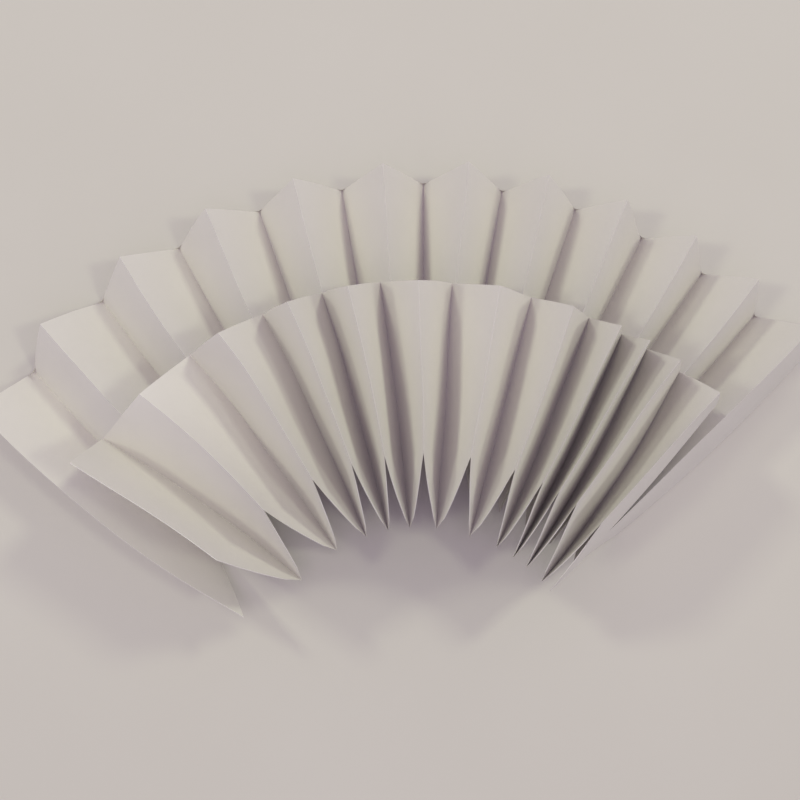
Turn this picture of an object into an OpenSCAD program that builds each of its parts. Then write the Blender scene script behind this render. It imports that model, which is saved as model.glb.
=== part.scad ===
// Two-tier pleated paper fan, in millimetres.
// A long strip of paper is folded to and fro into pleats and snipped across
// at a slant. The longer length lies spread on the table, and the shorter
// one is spread over it, with its valley folds on the lower ridge folds.
// Every fold is a line that runs out from one common centre, so each tier is
// worked out from the angle of its folds and the width of one panel.

/* [Paper] */
// Thickness of the paper
sheet_t = 0.1; // [0.08:0.01:0.2]
// Width of one panel, from fold to fold
panel_w = 12.9; // [11:0.1:15]
// Panels in each tier, an odd number
panels = 23; // [19:2:25]
// Rise of a panel's middle above a flat one
panel_bow = 0.3; // [0:0.05:0.4]

/* [Lower tier] */
// Radius of the outer edge
lower_outer_r = 82; // [76:0.5:88]
// Radius where the ridge folds end inside
lower_ridge_inner_r = 29; // [27:0.5:34]
// Radius where the valley folds end inside
lower_valley_inner_r = 40; // [34:0.5:44]
// Direction of the middle fold, turned clockwise from straight ahead
lower_middle = 2.9; // [-5:0.1:10]
// Angle from the middle fold to each end
lower_half_spread = 55.3; // [48:0.1:60]
// Angle by which both ends are drawn round to the left
lower_closing = 6.5; // [0:0.1:10]
// Angle by which the left end's folds splay apart towards the inner edge
lower_left_splay = 10; // [0:0.5:12]
// The same at the right end
lower_right_splay = 4.5; // [0:0.5:12]

/* [Upper tier] */
// Radius of the outer edge at the ridge folds
upper_ridge_outer_r = 59.5; // [56:0.5:64]
// Radius of the outer edge at the valley folds
upper_valley_outer_r = 62; // [56:0.5:66]
// Radius where the ridge folds end inside
upper_ridge_inner_r = 35; // [32:0.5:38]
// Radius where the pointed valley folds end inside
upper_valley_inner_r = 24; // [22:0.5:28]
// Direction of the middle fold, turned clockwise from straight ahead
upper_middle = 8.1; // [0:0.1:12]
// Angle from the middle fold to each end
upper_half_spread = 51.6; // [48:0.1:56]
// Angle by which both ends are drawn round to the left
upper_closing = 13.6; // [4:0.1:14]
// Turn of the left end's folds towards the middle, at their inner ends
upper_left_turn = 5; // [0:0.5:7]
// Turn of the right end's valley folds outwards, at their inner ends
upper_right_turn = 9; // [0:0.5:10]
// The same turn of the free right edge
upper_edge_turn = 5; // [4:0.5:10]
// Unevenness of the hand-spread folds
upper_wave = 2.2; // [0:0.1:2.4]
// Folds in one turn of that unevenness
upper_wave_folds = 10.5; // [9:0.5:14]
// Angle by which the first valley fold is drawn out to the left
upper_end_shift = 1.8; // [0:0.1:3]
// Turn from the free left edge to the first valley fold, at the outer edge
upper_end_turn_outer = 2.8; // [2:0.1:6]
// The same turn at the inner edge
upper_end_turn_inner = 6; // [2:0.1:8]
// Roundness of the pointed inner ends, 0 for straight cuts
upper_point_round = 0.2; // [0:0.05:0.25]

/* [Resting] */
// Space between the two papers where they lie on each other
rest_gap = 0.05; // [0.02:0.01:0.3]

/* [Hidden] */
paper_color = [0.88, 0.86, 0.83];
// Strips across one panel, and steps along a fold
panel_strips = 4;
fold_steps = 8;
columns = panels * panel_strips;
rows = fold_steps;
// Most paper that a tight fold may hold, measured upright
fold_height_limit = 0.5;
first_wave_fold = 1.4;

function mix(a, b, s) = a + (b - a) * s;
// Place of fold i across the tier, from -1 at the left end to 1 at the right
function across(i) = 2 * i / panels - 1;
// Even folds are ridges, and so high is the free left edge
function is_ridge(i) = i % 2 == 0;

// Direction of a fold, at the part t of its length from the inner end
function lower_angle(i, t) =
    lower_middle + lower_half_spread * across(i) - lower_closing * pow(across(i), 2)
    + (across(i) < 0 ? lower_left_splay : lower_right_splay) * pow(across(i), 5) * (1 - t);
// The right end's pleats roll over to the left towards their inner ends
function upper_inner_turn(i) =
    across(i) < 0 ? -upper_left_turn * across(i)
    : is_ridge(i) ? 0 : i == panels ? upper_edge_turn : upper_right_turn * across(i);
function upper_spread_angle(i, t) =
    upper_middle + upper_half_spread * across(i) - upper_closing * pow(across(i), 2)
    + upper_wave * sin(360 * (i - first_wave_fold) / upper_wave_folds)
    + upper_inner_turn(i) * (1 - t);
// The left end panel stands steeper than the rest
function upper_end_turn(t) = mix(upper_end_turn_inner, upper_end_turn_outer, t);
function upper_angle(i, t) =
    i > 1 ? upper_spread_angle(i, t)
    : upper_spread_angle(1, t) - upper_end_shift + (i - 1) * upper_end_turn(t);

// Level distance from one fold to the next, for a turn of that many degrees
function level_step(r, turn) = r * turn * PI / 180;
function lower_part(r) = (r - lower_ridge_inner_r) / (lower_outer_r - lower_ridge_inner_r);
function lower_step(i, r) =
    let (t = lower_part(r))
    level_step(r, (lower_angle(i + 1, t) - lower_angle(i - 1, t)) / 2);
function upper_step(i, r, t) = level_step(r, (upper_angle(i + 1, t) - upper_angle(i - 1, t)) / 2);
// Level distance of a fold from midway between its neighbours
function upper_lean(i, r, t) =
    level_step(r, upper_angle(i, t) - (upper_angle(i + 1, t) + upper_angle(i - 1, t)) / 2);

// Height that a panel of the full width climbs over that level distance
function climb(step, lean = 0) = sqrt(pow(panel_w, 2) - pow(step, 2) - pow(lean, 2));
// Upright measure of the paper on a panel as steep as that
function paper_height(step) = min(sheet_t * panel_w / step, fold_height_limit);

// Radius of a fold at the part t of its length, between slanted cuts
function lower_radius(i, t) =
    mix(is_ridge(i) ? lower_ridge_inner_r : lower_valley_inner_r, lower_outer_r, t);
function upper_radius(i, t) =
    is_ridge(i) ? mix(upper_ridge_inner_r, upper_ridge_outer_r, t)
    : mix(upper_valley_inner_r, upper_valley_outer_r, t);

// Height of the paper's middle at each fold
function lower_height(i, r) =
    paper_height(lower_step(i, r)) / 2 + (is_ridge(i) ? climb(lower_step(i, r)) : 0);
// Top of the lower paper at a ridge as steep as fold j
function ridge_top(j, r) =
    let (step = lower_step(min(max(j, 1), panels - 1), r))
    climb(step) + paper_height(step);
// The upper valleys follow the highest of the lower ridges around them
function rest_height(i, r) = max([for (j = [i - 1 : i + 3]) ridge_top(j, r)]) + rest_gap;
function upper_height(i, r, t) =
    rest_height(i, r) + paper_height(upper_step(i, r, t)) / 2
    + (is_ridge(i) ? climb(upper_step(i, r, t), upper_lean(i, r, t)) : 0);

// A point of a fold, in the middle of the paper
function fold_point(r, angle, z) = [r * sin(angle), r * cos(angle), z];
function lower_fold(i, t) =
    let (r = lower_radius(i, t))
    fold_point(r, lower_angle(i, t), lower_height(i, r));
function upper_fold(i, t) =
    let (r = upper_radius(i, t))
    fold_point(r, upper_angle(i, t), upper_height(i, r, t));
function tier_fold(upper, i, t) = upper ? upper_fold(i, t) : lower_fold(i, t);

// How far the inner cut swells past a straight one, at the part s from ridge to valley
function cut_swell(s) = 1 - pow(1 - s, 1.5) - s;

// A point of a panel, bowed up a little between its two folds
function panel_point(upper, column, row) =
    let (i = min(floor(column / panel_strips), panels - 1),
         s = column / panel_strips - i,
         swell = upper ? upper_point_round * cut_swell(is_ridge(i) ? s : 1 - s) : 0,
         t = mix(-swell, 1, row / fold_steps),
         flat = mix(tier_fold(upper, i, t), tier_fold(upper, i + 1, t), s))
    flat + [0, 0, panel_bow * 4 * s * (1 - s)];

// Point numbers on the upper face, k = 0, and the lower face, k = 1
face_size = (columns + 1) * (rows + 1);
function at(column, row, k) = k * face_size + column * (rows + 1) + row;

function tier_points(upper) =
    [for (column = [0 : columns], row = [0 : rows]) panel_point(upper, column, row)];

// Half of the paper's thickness, square to it, or along the middle of a fold
function unit(v) = norm(v) > 0 ? v / norm(v) : v;
function half_paper(points, c, r) =
    let (p = points[at(c, r, 0)],
         across = unit(points[at(min(c + 1, columns), r, 0)] - p)
                - unit(points[at(max(c - 1, 0), r, 0)] - p),
         along = points[at(c, min(r + 1, rows), 0)] - points[at(c, max(r - 1, 0), 0)],
         sides = c == 0 || c == columns ? 1 : 2)
    min(sheet_t * sides / norm(across) / 2, fold_height_limit / 2) * unit(cross(across, along));
// The same points on the upper face, side 1, or the lower face, side -1
function face_points(points, side) =
    [for (c = [0 : columns], r = [0 : rows]) points[at(c, r, 0)] + side * half_paper(points, c, r)];

// Middle of both tiers' box, at table level
lower_points = tier_points(false);
upper_points = tier_points(true);
lower_faces = concat(face_points(lower_points, 1), face_points(lower_points, -1));
upper_faces = concat(face_points(upper_points, 1), face_points(upper_points, -1));
function reach(k) = [for (p = concat(lower_faces, upper_faces)) p[k]];
function middle(v) = (min(v) + max(v)) / 2;
base_point = [middle(reach(0)), middle(reach(1)), min(reach(2))];

// Two triangles of a four-cornered patch
function patch(a, b, c, d) = [[a, b, c], [a, c, d]];

top_patches = [
    for (c = [0 : columns - 1], r = [0 : rows - 1])
        each patch(at(c, r, 0), at(c, r + 1, 0), at(c + 1, r + 1, 0), at(c + 1, r, 0))
];
under_patches = [
    for (c = [0 : columns - 1], r = [0 : rows - 1])
        each patch(at(c, r, 1), at(c + 1, r, 1), at(c + 1, r + 1, 1), at(c, r + 1, 1))
];
inner_edge = [
    for (c = [0 : columns - 1])
        each patch(at(c, 0, 0), at(c + 1, 0, 0), at(c + 1, 0, 1), at(c, 0, 1))
];
outer_edge = [
    for (c = [0 : columns - 1])
        each patch(at(c, rows, 0), at(c, rows, 1), at(c + 1, rows, 1), at(c + 1, rows, 0))
];
left_edge = [
    for (r = [0 : rows - 1])
        each patch(at(0, r, 0), at(0, r, 1), at(0, r + 1, 1), at(0, r + 1, 0))
];
right_edge = [
    for (r = [0 : rows - 1])
        each patch(at(columns, r, 0), at(columns, r + 1, 0), at(columns, r + 1, 1), at(columns, r, 1))
];

// One whole sheet, closed on all sides
module pleated_sheet(points) {
    translate(-base_point) polyhedron(
        points = points,
        faces = concat(top_patches, under_patches, inner_edge, outer_edge, left_edge, right_edge),
        convexity = 10
    );
}

// The longer sheet, which lies on the table
module lower_pleated_sheet() {
    color(paper_color) pleated_sheet(lower_faces);
}

// The shorter sheet, which lies over the longer one
module upper_pleated_sheet() {
    color(paper_color) pleated_sheet(upper_faces);
}

lower_pleated_sheet();
upper_pleated_sheet();
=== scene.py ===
"""Two-tier pleated paper fan.

Finer paper over the fixed frame, with its material, a floor, light and a camera.
Lengths are in metres, in the frame's own axes: +X right, +Y away from the viewer, +Z up.
"""

import math

import bmesh
import bpy
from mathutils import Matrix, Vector, kdtree, noise

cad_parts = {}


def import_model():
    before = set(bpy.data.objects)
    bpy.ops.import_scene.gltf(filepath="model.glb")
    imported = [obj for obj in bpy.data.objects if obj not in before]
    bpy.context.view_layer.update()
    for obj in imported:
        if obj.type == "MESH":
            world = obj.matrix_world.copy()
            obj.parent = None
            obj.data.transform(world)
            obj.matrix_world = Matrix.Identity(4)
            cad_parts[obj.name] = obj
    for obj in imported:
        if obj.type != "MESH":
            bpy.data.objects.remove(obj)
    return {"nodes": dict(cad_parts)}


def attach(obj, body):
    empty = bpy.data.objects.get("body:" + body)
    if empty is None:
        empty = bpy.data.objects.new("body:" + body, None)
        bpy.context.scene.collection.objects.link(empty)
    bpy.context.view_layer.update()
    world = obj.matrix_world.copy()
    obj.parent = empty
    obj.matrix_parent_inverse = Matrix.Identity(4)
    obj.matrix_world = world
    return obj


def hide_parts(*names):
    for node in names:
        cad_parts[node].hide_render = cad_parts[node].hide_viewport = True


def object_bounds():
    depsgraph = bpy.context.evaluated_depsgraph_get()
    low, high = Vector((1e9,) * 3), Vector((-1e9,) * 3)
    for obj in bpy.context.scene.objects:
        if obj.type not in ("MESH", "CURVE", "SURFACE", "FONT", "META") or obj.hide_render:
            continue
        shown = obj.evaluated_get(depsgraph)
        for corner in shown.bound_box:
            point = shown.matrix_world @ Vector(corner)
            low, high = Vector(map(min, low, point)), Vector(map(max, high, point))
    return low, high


MM = 0.001

# Paper
SUBDIVISIONS = 2
MERGE_LIMIT = 0.005 * MM
FOLD_ANGLE = math.radians(20)
RIM_LIMIT = 0.8 * MM  # a face with a shorter side than this is the paper's cut edge
LINE_STEP = 0.25 * MM  # spacing of the points that folds and cuts are measured from
# painted highlight: the paper is paler along every fold, standing for the light that a ridge
# catches
FOLD_HIGHLIGHT_WIDTH = 0.16 * MM
FOLD_HIGHLIGHT_SHARE = 0.5
# painted highlight: a pale strip along the cut edges, standing for light that comes in at the open
# ends of the pleats
CUT_HIGHLIGHT_WIDTH = 0.3 * MM
CUT_HIGHLIGHT_SHARE = 0.6
CLOUD_SCALE = 140  # noise cells in a metre
CLOUD_DEPTH = 0.4 * MM
CLOUD_STRENGTH = 0.2
FIBRE_SCALE = 2600
FIBRE_DEPTH = 0.06 * MM
FIBRE_STRENGTH = 0.25
ROUGHNESS = (0.78, 0.95)
WARP = 0.42 * MM
WARP_LENGTH = 17 * MM
WARP_SEED = 7  # without a seed the noise would differ from run to run
FLOOR_FADE = 2.5 * MM  # the warp dies out this far above the table

# Colours, linear
PAPER_PALE = (0.70, 0.67, 0.61, 1)
PAPER_WARM = (0.67, 0.64, 0.575, 1)
# the colour of the painted highlight along the folds
FOLD_HIGHLIGHT = (0.79, 0.765, 0.72, 1)
FLOOR_PALE = (0.585, 0.555, 0.50, 1)
FLOOR_WARM = (0.55, 0.52, 0.46, 1)
BACKDROP = (0.60, 0.565, 0.52, 1)

# Camera, fitted to the photograph's frame
IMAGE_SIDE = 800
FOCAL_PIXELS = 800
SENSOR = 36.0
AIM_X = -0.47 * MM
AIM_FROM_FAR_EDGE = 37.5 * MM
CAMERA_DISTANCE = 136 * MM
CAMERA_ELEVATION = math.radians(85)
NEAR_CLIP = 5 * MM

# Light, cool from above and warm from the sides, so that the two make white on the table.
# A lamp's level is the share of the light that it gives to the table
COOL = (1.0, 0.86, 1.17)
WARM = (1.0, 1.10, 0.85)
SKY_STRENGTH = 0.40
LAMP_SIDE = 0.08
LAMPS = {
    "top": (Vector((0, 0, 0.32)), 0.16, COOL),
    "left": (Vector((-0.45, -0.06, 0.58)), 0.105, WARM),
    "right": (Vector((0.45, -0.06, 0.58)), 0.105, WARM),
    "back_left": (Vector((-0.36, 0.30, 0.465)), 0.12, WARM),
    "back_right": (Vector((0.36, 0.30, 0.465)), 0.135, WARM),
}

# Table
FLOOR_SIDE = 1.1
FLOOR_CLOUD_SCALE = 18


def as_object(name, mesh):
    """A new object in the scene for a mesh."""
    obj = bpy.data.objects.new(name, mesh)
    bpy.context.scene.collection.objects.link(obj)
    return obj


def is_rim(face):
    """Whether a face belongs to the paper's cut edge."""
    return min(edge.calc_length() for edge in face.edges) < RIM_LIMIT


def points_along(edges):
    """Points at an even spacing along some edges, in a search tree."""
    points = []
    for edge in edges:
        a, b = (v.co for v in edge.verts)
        count = max(1, round((b - a).length / LINE_STEP))
        points += [a.lerp(b, k / count) for k in range(count + 1)]
    tree = kdtree.KDTree(len(points))
    for index, point in enumerate(points):
        tree.insert(point, index)
    tree.balance()
    return tree


def warp(point):
    """How a point of the paper strays from a true pleat, level with the table."""
    stray = noise.noise_vector(point / WARP_LENGTH)
    fade = min(1.0, max(0.0, point.z / FLOOR_FADE))
    return Vector((stray.x, stray.y, 0)) * WARP * fade


def paper_sheet(name, node):
    """A finely divided sheet that stands for one pleated node, with soft bows and a slight warp."""
    bm = bmesh.new()
    bm.from_mesh(node.data)
    bmesh.ops.remove_doubles(bm, verts=bm.verts, dist=MERGE_LIMIT)
    bmesh.ops.join_triangles(
        bm, faces=bm.faces, angle_face_threshold=math.pi, angle_shape_threshold=math.pi
    )
    sharpness = bm.edges.layers.float.new("crease_edge")
    rims = {face for face in bm.faces if is_rim(face)}
    # folds lie between panels, cuts between a face and the paper's edge, turns along that edge
    bends = [e for e in bm.edges if len(e.link_faces) == 2 and e.calc_face_angle() > FOLD_ANGLE]
    folds = [e for e in bends if not rims.intersection(e.link_faces)]
    cuts = [e for e in bm.edges if len(rims.intersection(e.link_faces)) == 1]
    turns = [e for e in bends if rims.issuperset(e.link_faces)]
    for edge in folds + cuts + turns:
        edge[sharpness] = 1
    fold_tree = points_along(folds)
    cut_tree = points_along(cuts)
    coarse = bpy.data.meshes.new(name + "_coarse")
    bm.to_mesh(coarse)
    bm.free()

    guide = as_object(name + "_guide", coarse)
    division = guide.modifiers.new("division", "SUBSURF")
    division.levels = division.render_levels = SUBDIVISIONS
    depsgraph = bpy.context.evaluated_depsgraph_get()
    fine = bpy.data.meshes.new_from_object(guide.evaluated_get(depsgraph))
    bpy.data.objects.remove(guide)
    bpy.data.meshes.remove(coarse)

    fold = fine.attributes.new("from_fold", "FLOAT", "POINT")
    cut = fine.attributes.new("from_cut", "FLOAT", "POINT")
    for vertex in fine.vertices:
        fold.data[vertex.index].value = fold_tree.find(vertex.co)[2]
        cut.data[vertex.index].value = cut_tree.find(vertex.co)[2]
        vertex.co += warp(vertex.co)
    fine.materials.clear()
    fine.polygons.foreach_set("use_smooth", [True] * len(fine.polygons))
    fine.set_sharp_from_angle(angle=FOLD_ANGLE)
    sheet = as_object(name, fine)
    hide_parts(node.name)
    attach(sheet, "root")
    return sheet


def new_material(name):
    """A material with its node tree, its shader and a place reading."""
    material = bpy.data.materials.new(name)
    material.use_nodes = True
    tree = material.node_tree
    shader = tree.nodes["Principled BSDF"]
    place = tree.nodes.new("ShaderNodeTexCoord")
    return material, tree, shader, place.outputs["Object"]


def noise_node(tree, place, scale, detail, roughness=0.55):
    """A cloudy reading from 0 to 1."""
    node = tree.nodes.new("ShaderNodeTexNoise")
    node.inputs["Scale"].default_value = scale
    node.inputs["Detail"].default_value = detail
    node.inputs["Roughness"].default_value = roughness
    tree.links.new(place, node.inputs["Vector"])
    return node.outputs["Fac"]


def mix_colour(tree, factor, a, b):
    """A colour between a and b. Each may be a fixed colour or another node's output."""
    node = tree.nodes.new("ShaderNodeMix")
    node.data_type = "RGBA"
    tree.links.new(factor, node.inputs["Factor"])
    # the node has an A, a B and a result for each kind of data, and these are the colours
    for socket, value in ((node.inputs[6], a), (node.inputs[7], b)):
        if isinstance(value, tuple):
            socket.default_value = value
        else:
            tree.links.new(value, socket)
    return node.outputs[2]


def scaled(tree, value, low, high):
    """A reading from 0 to 1 spread over low to high."""
    node = tree.nodes.new("ShaderNodeMapRange")
    node.inputs["To Min"].default_value = low
    node.inputs["To Max"].default_value = high
    tree.links.new(value, node.inputs["Value"])
    return node.outputs["Result"]


def beside(tree, name, width, most):
    """A reading that is the most on the lines an attribute measures from, and 0 past a width."""
    distance = tree.nodes.new("ShaderNodeAttribute")
    distance.attribute_name = name
    node = tree.nodes.new("ShaderNodeMapRange")
    node.interpolation_type = "SMOOTHSTEP"
    node.inputs["From Max"].default_value = width
    node.inputs["To Min"].default_value = most
    node.inputs["To Max"].default_value = 0
    tree.links.new(distance.outputs["Fac"], node.inputs["Value"])
    return node.outputs["Result"]


def bump(tree, height, strength, distance, below=None):
    """A fine relief from a reading of height, laid over the relief below it."""
    node = tree.nodes.new("ShaderNodeBump")
    node.inputs["Strength"].default_value = strength
    node.inputs["Distance"].default_value = distance
    tree.links.new(height, node.inputs["Height"])
    if below is not None:
        tree.links.new(below, node.inputs["Normal"])
    return node.outputs["Normal"]


def paper_material():
    """White office paper: cloudy tone, short fibres, and painted highlights along the folds and
    along the cut edges.
    """
    material, tree, shader, place = new_material("paper")
    cloud = noise_node(tree, place, CLOUD_SCALE, detail=3)
    fibre = noise_node(tree, place, FIBRE_SCALE, detail=6, roughness=0.65)
    tone = mix_colour(tree, cloud, PAPER_PALE, PAPER_WARM)
    # painted highlight: paler along every fold, valleys as well as ridges, standing for the light
    # that a ridge catches
    tone = mix_colour(tree, beside(tree, "from_fold", FOLD_HIGHLIGHT_WIDTH, FOLD_HIGHLIGHT_SHARE), tone, FOLD_HIGHLIGHT)
    # painted highlight: pale along the cut edges, where light comes in at the open ends of the
    # pleats
    tone = mix_colour(tree, beside(tree, "from_cut", CUT_HIGHLIGHT_WIDTH, CUT_HIGHLIGHT_SHARE), tone, PAPER_PALE)
    tree.links.new(tone, shader.inputs["Base Color"])
    tree.links.new(scaled(tree, fibre, *ROUGHNESS), shader.inputs["Roughness"])
    relief = bump(tree, cloud, CLOUD_STRENGTH, CLOUD_DEPTH)
    relief = bump(tree, fibre, FIBRE_STRENGTH, FIBRE_DEPTH, relief)
    tree.links.new(relief, shader.inputs["Normal"])
    shader.inputs["Specular IOR Level"].default_value = 0.25
    shader.inputs["Sheen Weight"].default_value = 0.06
    shader.inputs["Sheen Roughness"].default_value = 0.6
    return material


def floor_material():
    """A plain pale table top with a faint cloudiness."""
    material, tree, shader, place = new_material("floor")
    cloud = noise_node(tree, place, FLOOR_CLOUD_SCALE, detail=5)
    tone = mix_colour(tree, cloud, FLOOR_PALE, FLOOR_WARM)
    tree.links.new(tone, shader.inputs["Base Color"])
    shader.inputs["Roughness"].default_value = 0.7
    shader.inputs["Specular IOR Level"].default_value = 0.2
    return material


def add_floor():
    """The table top, which is part of the stage and not of the fan."""
    mesh = bpy.data.meshes.new("floor")
    h = FLOOR_SIDE / 2
    mesh.from_pydata([(-h, -h, 0), (h, -h, 0), (h, h, 0), (-h, h, 0)], [], [(0, 1, 2, 3)])
    mesh.materials.append(floor_material())
    as_object("floor", mesh)


def add_light():
    """A plain sky, a lamp overhead and four lamps around the table."""
    world = bpy.data.worlds.new("sky")
    world.use_nodes = True
    tree = world.node_tree
    sky = tree.nodes["Background"]
    sky.inputs["Color"].default_value = (*COOL, 1)
    sky.inputs["Strength"].default_value = SKY_STRENGTH
    # the camera and reflections see a pale backdrop in place of the sky
    backdrop = tree.nodes.new("ShaderNodeBackground")
    backdrop.inputs["Color"].default_value = BACKDROP
    rays = tree.nodes.new("ShaderNodeLightPath").outputs
    seen = rays["Is Camera Ray"]
    for kind in ("Is Glossy Ray", "Is Transmission Ray"):
        total = tree.nodes.new("ShaderNodeMath")
        tree.links.new(seen, total.inputs[0])
        tree.links.new(rays[kind], total.inputs[1])
        seen = total.outputs[0]
    mix = tree.nodes.new("ShaderNodeMixShader")
    tree.links.new(seen, mix.inputs[0])
    tree.links.new(sky.outputs[0], mix.inputs[1])
    tree.links.new(backdrop.outputs[0], mix.inputs[2])
    tree.links.new(mix.outputs[0], tree.nodes["World Output"].inputs["Surface"])
    bpy.context.scene.world = world
    for name, (place, level, color) in LAMPS.items():
        lamp = bpy.data.lights.new(name, "AREA")
        lamp.size = LAMP_SIDE
        lamp.color = color
        # a lamp's level on the table falls with its distance and with its slant
        lamp.energy = level * math.pi**2 * place.length**3 / place.z
        obj = bpy.data.objects.new(name, lamp)
        obj.location = place
        obj.rotation_euler = (-place).to_track_quat("-Z", "Y").to_euler()
        bpy.context.scene.collection.objects.link(obj)


def add_camera(far_edge):
    """The photograph's view, nearly straight down, placed from the fan's far edge."""
    data = bpy.data.cameras.new("camera")
    data.sensor_fit = "HORIZONTAL"
    data.sensor_width = SENSOR
    data.lens = SENSOR * FOCAL_PIXELS / IMAGE_SIDE
    data.clip_start = NEAR_CLIP
    camera = bpy.data.objects.new("camera", data)
    back = Vector((0, -math.cos(CAMERA_ELEVATION), math.sin(CAMERA_ELEVATION)))
    aim = Vector((AIM_X, far_edge - AIM_FROM_FAR_EDGE, 0))
    camera.location = aim + back * CAMERA_DISTANCE
    camera.rotation_euler = (-back).to_track_quat("-Z", "Y").to_euler()
    bpy.context.scene.collection.objects.link(camera)
    bpy.context.scene.camera = camera


def main():
    """Build the scene."""
    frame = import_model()
    cad_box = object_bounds()
    bpy.context.scene.view_settings.view_transform = "Standard"
    noise.seed_set(WARP_SEED)
    paper = paper_material()
    for node in list(frame["nodes"].values()):
        sheet = paper_sheet(node.name.replace("_pleated_sheet", "_paper"), node)
        sheet.data.materials.append(paper)
    add_floor()
    add_light()
    add_camera(cad_box[1][1])


main()
